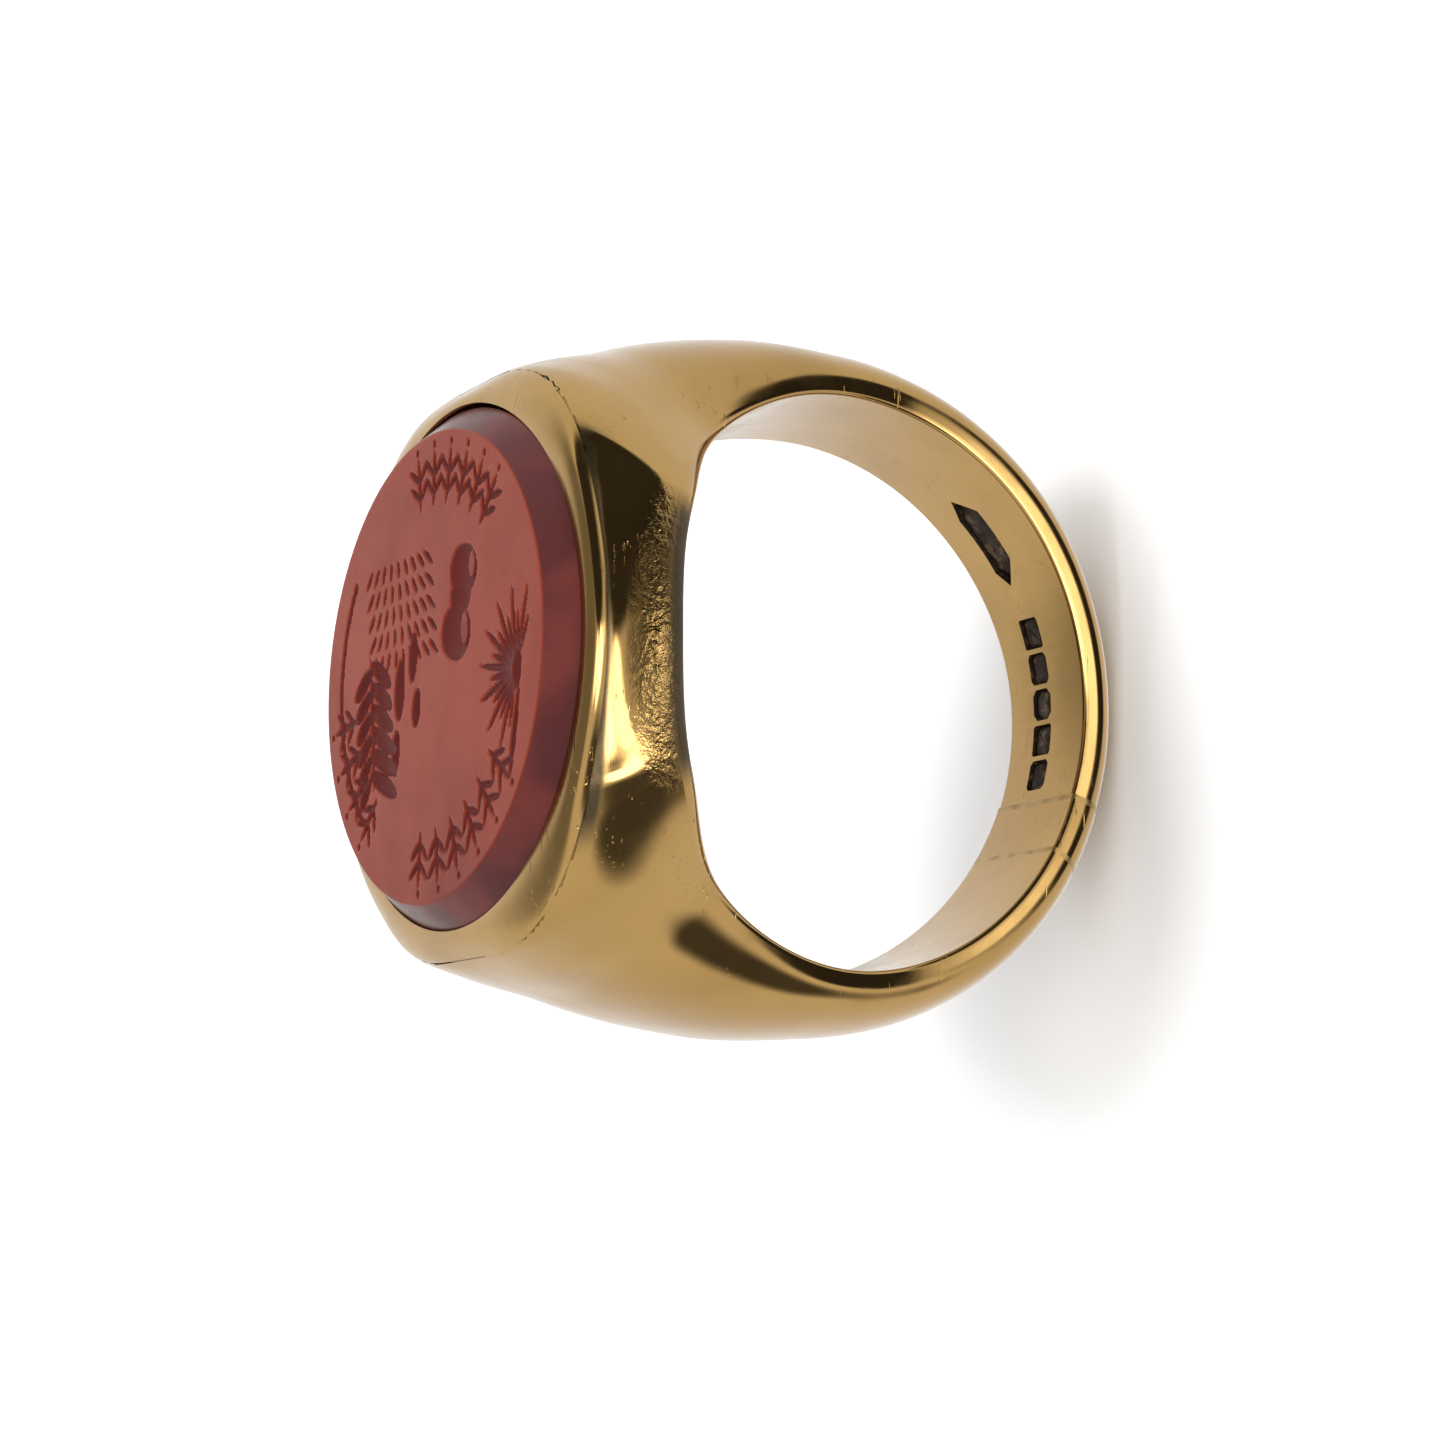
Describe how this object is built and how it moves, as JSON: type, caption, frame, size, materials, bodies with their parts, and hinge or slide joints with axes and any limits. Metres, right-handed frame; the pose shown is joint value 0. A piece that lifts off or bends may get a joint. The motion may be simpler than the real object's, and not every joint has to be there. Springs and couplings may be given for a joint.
{
  "type": "signet ring",
  "caption": "Heavy gold signet ring with broad shoulders, hollowed cheeks and a bevelled oval intaglio seal stone in a rubbed-over setting.",
  "frame": {"origin": "centre of the finger hole", "axes": "+Z out of the seal face, Y along the finger, X round the band at the head"},
  "size_m": [0.0228, 0.0204, 0.0244],
  "materials": {
    "gold": "worn polished yellow gold",
    "solder": "duller gold solder",
    "carnelian": "polished carnelian with matt engraving",
    "cement": "dull setter's cement"
  },
  "bodies": {
    "root": {"ring_body": "gold", "bezel_rim": "gold", "sizing_piece": "gold", "solder_seam_low": "solder", "solder_seam_high": "solder", "seal_stone": "carnelian", "stone_bedding": "cement"}
  },
  "joints": []
}
